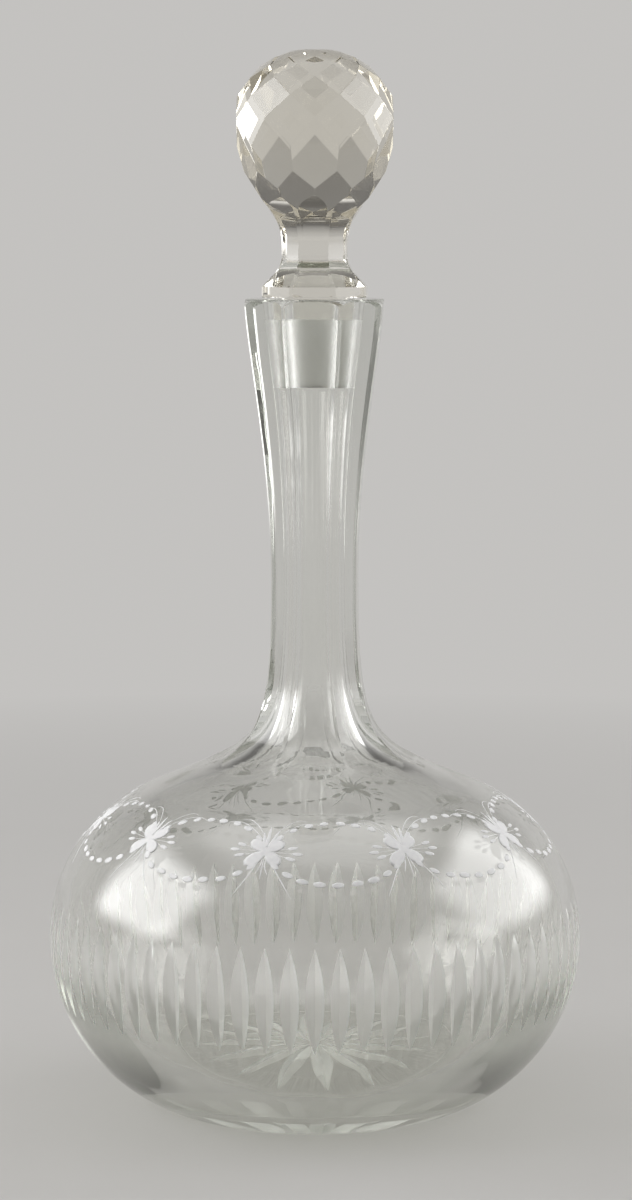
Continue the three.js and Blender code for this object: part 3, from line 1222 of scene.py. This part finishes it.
@dataclass
class Stopper:
    """The stopper: plug, collar and stem turned and sliced, with the globe grown from the stem."""

    rim_height: float = 217.0
    plug_top_radius: float = 8.7
    plug_tip_radius: float = 6.5
    plug_length: float = 22.8
    plug_chamfer: float = 0.4
    ground_top: float = 4.9
    seat_gap: float = 0.3
    collar_radius: float = 14.75
    collar_band: float = 2.9
    collar_edge: float = 0.5
    flare_height: float = 8.3
    flare_slope: float = 45.0
    flare_fullness_below: float = 0.9
    flare_fullness_above: float = 0.42
    stem_radius: float = 9.15
    stem_length: float = 7.3
    stem_fillet: float = 16.0
    fillet_inset: float = 0.1
    runout_angle: float = 60.0
    sides: int = 144
    flare_steps: int = 14
    fillet_steps: int = 8
    runout_steps: int = 16
    globe: Globe = Globe()
    slices: NeckSlices = NeckSlices()

    @property
    def stem_foot(self) -> float:
        """Height above the rim at which the flare ends and the stem starts."""
        return self.seat_gap + self.collar_band + self.flare_height

    @property
    def equator(self) -> float:
        """Height of the globe's widest place above the rim."""
        return self.stem_foot + self.stem_length + self.globe.drop_to(self.stem_radius)

    @property
    def fillet_foot(self) -> float:
        """Height above the rim at which the stem starts to widen into the taper."""
        meeting = self.equator - self.globe.drop_to(self.stem_radius + self.fillet_inset)
        return meeting - self.stem_fillet * math.tan(math.radians(self.globe.taper_angle / 2))

    def plug_radius(self, depth: float) -> float:
        """Radius of the plug at a depth below the rim."""
        share = depth / self.plug_length
        return self.plug_top_radius + (self.plug_tip_radius - self.plug_top_radius) * share

    def flare(self) -> list[Vector]:
        """Outline from the collar's upper edge in to the foot of the stem.

        Returns:
            Points (radius, height above the rim) in millimetres.
        """
        collar = Vector((self.collar_radius, self.seat_gap + self.collar_band))
        foot = Vector((self.stem_radius, self.stem_foot))
        return Bend(collar, math.radians(180 - self.flare_slope),
                    self.flare_fullness_below * (collar.x - foot.x),
                    foot, QUARTER, self.flare_fullness_above * self.flare_height,
                    self.flare_steps).points()

    def outward_arc(self, distance: float, sweep: float, steps: int) -> list[Vector]:
        """Hollow arc that leaves the stem's line and turns outwards.

        Args:
            distance: Distance of the line from the axis in millimetres.
            sweep: Length of the arc in degrees.
            steps: Steps along it.

        Returns:
            Its points as (distance, height above the rim).
        """
        points = []
        for i in range(steps + 1):
            angle = math.radians(sweep) * i / steps
            out = distance + self.stem_fillet * (1 - math.cos(angle))
            points.append(Vector((out, self.fillet_foot + self.stem_fillet * math.sin(angle))))
        return points

    def build(self, glass: bpy.types.Material, ground: bpy.types.Material) -> bpy.types.Object:
        """Make the stopper and dress it.

        Args:
            glass: Material of the polished glass.
            ground: Material of the ground plug.

        Returns:
            The finished stopper.
        """
        flare = self.flare()
        fillet = self.outward_arc(self.stem_radius, self.globe.taper_angle, self.fillet_steps)
        tip = self.plug_length
        plug = [
            Vector((0.0, -tip)),
            Vector((self.plug_tip_radius - self.plug_chamfer, -tip)),
            Vector((self.plug_radius(tip - self.plug_chamfer), self.plug_chamfer - tip)),
            Vector((self.plug_radius(self.ground_top), -self.ground_top)),
            Vector((self.plug_radius(-self.seat_gap), self.seat_gap)),
            Vector((self.collar_radius - self.collar_edge, self.seat_gap)),
            Vector((self.collar_radius, self.seat_gap + self.collar_edge)),
        ]
        up = Vector((0.0, self.rim_height))
        profile = [point + up for point in (*plug, *flare, *fillet, Vector((0.0, fillet[-1].y)))]
        piece = turned("stopper_glass", placed(profile), self.sides)
        worked(piece, self.globe.build(self.rim_height + self.equator), Joining.WELD)
        flat = self.slices.distance
        line = [Vector((flat(self.collar_radius), self.seat_gap - self.slices.overlap))]
        line += [Vector((flat(point.x), point.y)) for point in flare]
        line += self.outward_arc(flat(self.stem_radius), self.runout_angle, self.runout_steps)
        worked(piece, self.slices.cutter([point + up for point in line]), Joining.CUT)
        shaded(piece)
        coated(piece, glass, ground)
        low = (self.rim_height - tip + self.plug_chamfer / 2) * MM
        high = (self.rim_height - self.ground_top) * MM
        for face in piece.data.polygons:
            face.material_index = int(low < face.center.z < high)
        return piece


# The engraved band.


@dataclass(frozen=True)
class Sprig:
    """Sizes of one flower. A ray is a direction in degrees from the right, with a length."""

    petals: Rays = ((41, 5.6), (139, 5.5), (222, 5.9), (318, 5.7))
    petal_middle: float = 0.55
    petal_length: float = 1.05
    petal_width: float = 3.1
    petal_swell: float = 0.35
    petal_sway: float = 6.0
    petal_spread: Span = (0.93, 1.07)
    heart: float = 3.4
    spray: Rays = ((14, 8.6), (0, 9.8), (-14, 8.4))
    bud_length: float = 2.9
    bud_back: float = 1.4
    bud_width: float = 1.15
    stalk_start: float = 1.5
    stalk_back: float = 1.8
    stalk_width: float = 0.5
    blades: Rays = ((110, 6.8), (92, 8.6), (74, 7.8), (60, 5.8))
    blade_middle: float = 0.55
    blade_length: float = 0.9
    blade_width: float = 1.15
    blade_taper: float = 0.3
    sway: float = 5.0
    tendrils: Rays = ((-90, 8.4), (-116, 15.0), (-62, 15.5), (-77, 7.2), (-102, 7.0))
    tendril_start: float = 2.2
    tendril_bow: float = 0.5
    tendril_sway: float = 3.0
    tendril_steps: int = 6


@dataclass(frozen=True)
class Vine:
    """A fine line over an oval: its arch, its share of the half oval and the height of its start."""

    arch: float
    reach: float
    start: float


@dataclass
class EngravedBand:
    """Matt white wreath on the shoulder: ovals of short strokes, with a sprig between each two."""

    body: DecanterBody
    count: int = 10
    turn: float = 5.4
    middle_radius: float = 58.6
    oval_half_width: float = 17.4
    oval_half_height: float = 10.0
    strokes_above: int = 8
    strokes_below: int = 9
    arc_above: Span = (27.0, 153.0)
    arc_below: Span = (207.0, 333.0)
    arc_steps: int = 200
    stroke_length: float = 3.0
    stroke_width: float = 1.7
    stroke_sides: int = 12
    stroke_rings: int = 4
    stroke_sway: float = 5.0
    stroke_shift: Span = (0.25, 0.2)
    stroke_spread: Span = (0.85, 1.1)
    relief: float = 0.06
    line_width: float = 0.34
    line_end: float = 0.35
    line_flatness: float = 0.4
    flower: Sprig = Sprig()
    vines: tuple[Vine, ...] = (Vine(4.2, 0.75, 3.6), Vine(2.6, 0.5, 5.2))
    vine_gap: float = 1.2
    vine_lift: float = 5.6
    vine_bulge: float = 1.6
    vine_width: float = 0.8
    vine_steps: int = 14
    seed: int = 7

    def __post_init__(self) -> None:
        """Measure the outline along its length, for placing work on it."""
        self.path = [point for point in self.body.side() if point.y >= self.body.belly_rise]
        self.lengths = [0.0]
        for low, high in zip(self.path, self.path[1:]):
            self.lengths.append(self.lengths[-1] + (high - low).length)
        self.middle = next(
            length for point, length in zip(self.path, self.lengths) if point.x < self.middle_radius
        )
        self.dice = random.Random(self.seed)

    def about(self, amount: float) -> float:
        """An uneven hand: a number up to an amount on both sides of 0."""
        return self.dice.uniform(-amount, amount)

    def on_glass(self, flat: Vector, turn: float) -> Vector:
        """Lay a point of the flat drawing on the shoulder.

        Args:
            flat: Right, up and out of the glass, in millimetres from the band's middle line.
            turn: Azimuth of the drawing's middle, in degrees from the front.

        Returns:
            The point in metres.
        """
        along = min(max(self.middle + flat.y, 0.0), self.lengths[-1])
        index = next(i for i, length in enumerate(self.lengths[1:]) if length >= along)
        low, high = self.path[index], self.path[index + 1]
        share = (along - self.lengths[index]) / (self.lengths[index + 1] - self.lengths[index])
        run = (high - low).normalized()
        place = low.lerp(high, share) + Vector((run.y, -run.x)) * flat.z
        angle = math.radians(turn - 90) + flat.x / self.middle_radius
        return Vector((place.x * math.cos(angle), place.x * math.sin(angle), place.y)) * MM

    def stroke(self, centre: Vector, angle: float, length: float, width: float,
               taper: float = 0.0) -> bpy.types.Object:
        """One short hollow stroke, as a shallow lens.

        Args:
            centre: Its middle on the flat drawing.
            angle: Its direction in radians.
            length: Its length in millimetres.
            width: Its width in millimetres.
            taper: How much narrower the far end is, from 0 to 1.

        Returns:
            The stroke.
        """
        clear_selection()
        bpy.ops.mesh.primitive_uv_sphere_add(
            segments=self.stroke_sides, ring_count=self.stroke_rings, radius=1, location=(0, 0, 0)
        )
        made = bpy.context.object
        open_mesh(made)
        bpy.ops.transform.resize(value=(length / 2, width / 2, self.relief))
        close_mesh()
        for vertex in made.data.vertices:
            vertex.co.y *= 1 - taper * (vertex.co.x / length + 0.5)
        made.data.transform(Matrix.Translation(centre.to_3d()) @ Matrix.Rotation(angle, 4, "Z"))
        return made

    def scratch(self, points: Sequence[Vector], width: float) -> bpy.types.Object:
        """One fine engraved line through points on the flat drawing.

        Args:
            points: The line's points.
            width: Its width in millimetres.

        Returns:
            The line as a thin tube that thins out at both ends.
        """
        made = curve(points)
        for i, place in enumerate(made.data.splines[0].points):
            share = i / (len(points) - 1)
            place.radius = self.line_end + (1 - self.line_end) * math.sin(math.pi * share)
        made.data.bevel_depth = width / 2
        made.data.bevel_resolution = 1
        made.data.use_fill_caps = True
        bpy.ops.object.convert(target="MESH")
        made = bpy.context.object
        made.data.transform(Matrix.Diagonal((1, 1, self.line_flatness, 1)))
        return made

    def oval(self) -> list[bpy.types.Object]:
        """Draw one oval of strokes, open towards the sprigs on both sides.

        Returns:
            The strokes, laid out flat, as on the drawing.
        """
        parts = []
        for count, arc in ((self.strokes_above, self.arc_above), (self.strokes_below, self.arc_below)):
            for angle in self.spaced(count, *map(math.radians, arc)):
                centre = Vector((
                    self.oval_half_width * math.cos(angle),
                    self.oval_half_height * math.sin(angle),
                ))
                lie = math.atan2(self.oval_half_height * math.cos(angle),
                                 -self.oval_half_width * math.sin(angle))
                lie += math.radians(self.about(self.stroke_sway))
                centre.x += self.about(self.stroke_shift[0])
                centre.y += self.about(self.stroke_shift[1])
                length = self.stroke_length * self.dice.uniform(*self.stroke_spread)
                width = self.stroke_width * self.dice.uniform(*self.stroke_spread)
                parts.append(self.stroke(centre, lie, length, width))
        return parts

    def spaced(self, count: int, start: float, end: float) -> list[float]:
        """Angles on the oval that are evenly spaced along it.

        Args:
            count: How many.
            start: First angle.
            end: Last angle.

        Returns:
            The angles in radians.
        """
        angles = [start + (end - start) * i / self.arc_steps for i in range(self.arc_steps + 1)]
        run = [0.0]
        for low, high in zip(angles, angles[1:]):
            step = Vector((self.oval_half_width * (math.cos(high) - math.cos(low)),
                           self.oval_half_height * (math.sin(high) - math.sin(low))))
            run.append(run[-1] + step.length)
        return [
            next(angle for angle, way in zip(angles, run) if way >= run[-1] * i / (count - 1) - TINY)
            for i in range(count)
        ]

    def sprig(self) -> list[bpy.types.Object]:
        """Draw one sprig: petals in an X, a spray at each side, blades above and fine lines below.

        Returns:
            Its strokes and lines, laid out flat, as on the drawing.
        """
        flower = self.flower
        parts = []
        for angle, reach in flower.petals:
            turn = math.radians(angle + self.about(flower.petal_sway))
            size = reach * self.dice.uniform(*flower.petal_spread)
            centre = heading(turn) * size * flower.petal_middle
            length = size * flower.petal_length
            parts.append(self.stroke(centre, turn, length, flower.petal_width, -flower.petal_swell))
        for side in Side:
            lean = math.radians(self.about(flower.sway))
            for angle, reach in flower.spray:
                way = heading(math.radians(angle) + lean)
                way.x *= side.value
                lie = math.atan2(way.y, way.x)
                bud = way * (reach - flower.bud_back)
                parts.append(self.stroke(bud, lie, flower.bud_length, flower.bud_width))
                stalk = [way * flower.stalk_start, way * (reach - flower.stalk_back)]
                parts.append(self.scratch(stalk, flower.stalk_width))
        for angle, reach in flower.blades:
            turn = math.radians(angle + self.about(flower.sway))
            centre = heading(turn) * reach * flower.blade_middle
            length = reach * flower.blade_length
            parts.append(self.stroke(centre, turn, length, flower.blade_width, flower.blade_taper))
        for angle, reach in flower.tendrils:
            way = heading(math.radians(angle + self.about(flower.tendril_sway)))
            bow = Vector((way.y, -way.x)) * self.about(flower.tendril_bow)
            points = []
            for i in range(flower.tendril_steps + 1):
                share = i / flower.tendril_steps
                out = flower.tendril_start + (reach - flower.tendril_start) * share
                points.append(way * out + bow * math.sin(math.pi * share))
            parts.append(self.scratch(points, self.line_width))
        parts.append(self.stroke(Vector((0, 0)), 0.0, flower.heart, flower.heart))
        return parts

    def vine(self) -> list[bpy.types.Object]:
        """Draw the thin lines that curl over one oval from the sprigs beside it.

        Returns:
            The lines, laid out flat, as on the drawing.
        """
        half = math.pi * self.middle_radius / self.count
        parts = []
        for side in Side:
            for line in self.vines:
                points = []
                for i in range(self.vine_steps + 1):
                    share = i / self.vine_steps
                    across = half - self.vine_gap - share * line.reach * half
                    up = line.start + self.vine_lift * math.sin(share * QUARTER)
                    up += line.arch * share * (1 - share) * self.vine_bulge
                    points.append(Vector((side.value * across, up)))
                parts.append(self.scratch(points, self.line_width * self.vine_width))
        return parts

    def build(self, finish: bpy.types.Material) -> list[bpy.types.Object]:
        """Engrave the whole band.

        Args:
            finish: Material of the engraving.

        Returns:
            The ovals, the sprigs and the vines, one object each.
        """
        kinds: list[tuple[str, Callable[[], list[bpy.types.Object]], float]] = [
            ("engraved_ovals", self.oval, 0.0),
            ("engraved_sprigs", self.sprig, 0.5),
            ("engraved_vines", self.vine, 0.0),
        ]
        pieces = []
        for name, make, offset in kinds:
            parts = []
            for i in range(self.count):
                turn = self.turn + (i + offset) * 360 / self.count
                for part in make():
                    for vertex in part.data.vertices:
                        vertex.co = self.on_glass(vertex.co, turn)
                    parts.append(part)
            piece = gathered(name, parts)
            open_mesh(piece)
            bpy.ops.mesh.normals_make_consistent(inside=False)
            close_mesh()
            bpy.ops.object.shade_smooth()
            coated(piece, finish)
            pieces.append(piece)
        return pieces


# The studio.


@dataclass
class Camera:
    """The photograph's viewpoint."""

    location: tuple[float, float, float] = (0.0003, -0.950, 0.243)
    pitch: float = -6.414
    lens: float = 106.74
    sensor: float = 36.0
    nearest: float = 0.01

    def build(self) -> bpy.types.Object:
        """Set up the camera and make it the scene's own.

        Returns:
            The camera.
        """
        clear_selection()
        tilt = (math.radians(90 + self.pitch), 0, 0)
        bpy.ops.object.camera_add(location=self.location, rotation=tilt)
        camera = bpy.context.object
        camera.name = "camera"
        camera.data.lens = self.lens
        camera.data.sensor_width = self.sensor
        camera.data.clip_start = self.nearest
        bpy.context.scene.camera = camera
        return camera


def towards(azimuth: float, elevation: float, distance: float) -> Vector:
    """Find a place round a middle.

    Args:
        azimuth: Degrees from the front, to the right.
        elevation: Degrees above the level.
        distance: How far away it is, in metres.

    Returns:
        The place, seen from the middle.
    """
    turn, rise = math.radians(azimuth), math.radians(elevation)
    level = Vector((math.sin(turn) * math.cos(rise), -math.cos(turn) * math.cos(rise), math.sin(rise)))
    return level * distance


@dataclass(frozen=True)
class Softbox:
    """A soft lamp that faces the middle of the decanter, with its place seen from there."""

    name: str
    place: Vector
    size: tuple[float, float]
    power: float
    edge: float = 0.22

    def build(self, middle: Vector) -> bpy.types.Object:
        """Hang the lamp, with its light dying away towards the edges of its cloth.

        Args:
            middle: What it faces, in metres.

        Returns:
            The lamp.
        """
        clear_selection()
        bpy.ops.object.light_add(type="AREA", location=middle + self.place)
        lamp = bpy.context.object
        lamp.name = self.name
        lamp.rotation_euler = (-self.place).to_track_quat("-Z", "Y").to_euler()
        lamp.data.shape = "RECTANGLE"
        lamp.data.size, lamp.data.size_y = self.size
        lamp.data.energy = self.power
        lamp.data.use_nodes = True
        recipe = Recipe(lamp.data.node_tree)
        glow = next(node for node in recipe.tree.nodes if node.type == "EMISSION")
        across = recipe.node("ShaderNodeNewGeometry").outputs["Parametric"]
        shares = []
        for axis in ("X", "Y"):
            from_edge = recipe.maths(Maths.FOLDED, recipe.along(across, axis), 0.5)
            shares.append(recipe.ranged(from_edge, (0.0, self.edge), soft=True))
        recipe.link(recipe.maths(Maths.TIMES, *shares), glow.inputs["Strength"])
        return lamp


@dataclass
class Studio:
    """Pale floor, soft lamps and a pale surround."""

    floor_half: float = 30.0
    middle_height: float = 0.12
    lamps: tuple[Softbox, ...] = (
        Softbox("left_softbox", towards(-88, 26, 0.85), (0.95, 0.8), 9.5),
        Softbox("right_softbox", towards(101, 26, 0.85), (1.15, 0.85), 8.0),
        Softbox("top_softbox", Vector((0.0, 0.2, 1.48)), (2.0, 1.6), 10.0),
    )
    surround: Colour = (0.55, 0.54, 0.526)
    ceiling: Colour = (0.14, 0.136, 0.132)
    ceiling_rise: Span = (0.18, 0.6)
    diffuse_light: float = 0.8
    paint: PaleFloor = PaleFloor()

    def floor(self) -> bpy.types.Object:
        """Lay the floor.

        Returns:
            The floor, marked as part of the stage.
        """
        clear_selection()
        bpy.ops.mesh.primitive_plane_add(size=2 * self.floor_half, location=(0, 0, 0))
        floor = bpy.context.object
        floor.name = "floor"
        coated(floor, self.paint.material())
        return floor

    def world(self) -> None:
        """Surround the scene with a pale room that darkens towards the ceiling."""
        world = bpy.data.worlds.new("surround")
        bpy.context.scene.world = world
        world.use_nodes = True
        recipe = Recipe(world.node_tree)
        recipe.tree.nodes.clear()
        background = recipe.node("ShaderNodeBackground")
        rise = recipe.ranged(recipe.along(recipe.place("Generated"), "Z"), self.ceiling_rise)
        recipe.link(recipe.tones(rise, self.surround, self.ceiling), background.inputs["Color"])
        diffuse = recipe.node("ShaderNodeLightPath").outputs["Is Diffuse Ray"]
        recipe.link(recipe.ranged(diffuse, to=(1.0, self.diffuse_light)), background.inputs["Strength"])
        output = recipe.node("ShaderNodeOutputWorld")
        recipe.link(background.outputs["Background"], output.inputs["Surface"])

    def build(self) -> None:
        """Set up floor, lamps, surround and view transform."""
        self.floor()
        for lamp in self.lamps:
            lamp.build(Vector((0.0, 0.0, self.middle_height)))
        self.world()
        bpy.context.scene.view_settings.view_transform = "Standard"


def dressed(piece: bpy.types.Object, body: str, node: str | None = None) -> None:
    """Hang a piece on its CAD body, hide the CAD node that it replaces and log its size.

    Args:
        piece: The finished piece.
        body: The body that it rides on.
        node: The CAD node that it replaces, if it does.
    """
    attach(piece, body)
    if node is not None:
        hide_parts(node)
    LOG.info("%s: %d faces, rides on %s", piece.name, len(piece.data.polygons), body)


def main() -> None:
    """Load the frame, make every piece and set the scene."""
    logging.basicConfig(level=logging.INFO, format="%(name)s: %(message)s")
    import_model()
    Camera().build()
    seat = SEAT_GLASS.material()
    bottle = DecanterBody()
    body = bottle.build(BOTTLE_GLASS.material(), seat)
    dressed(body, "bottle", "decanter_body")
    stopper = Stopper(rim_height=bottle.rim_height).build(STOPPER_GLASS.material(), seat)
    dressed(stopper, "stopper", "stopper")
    for piece in EngravedBand(bottle).build(ENGRAVED_GLASS.material()):
        dressed(piece, "bottle")
    Studio().build()


if __name__ == "__main__":
    main()
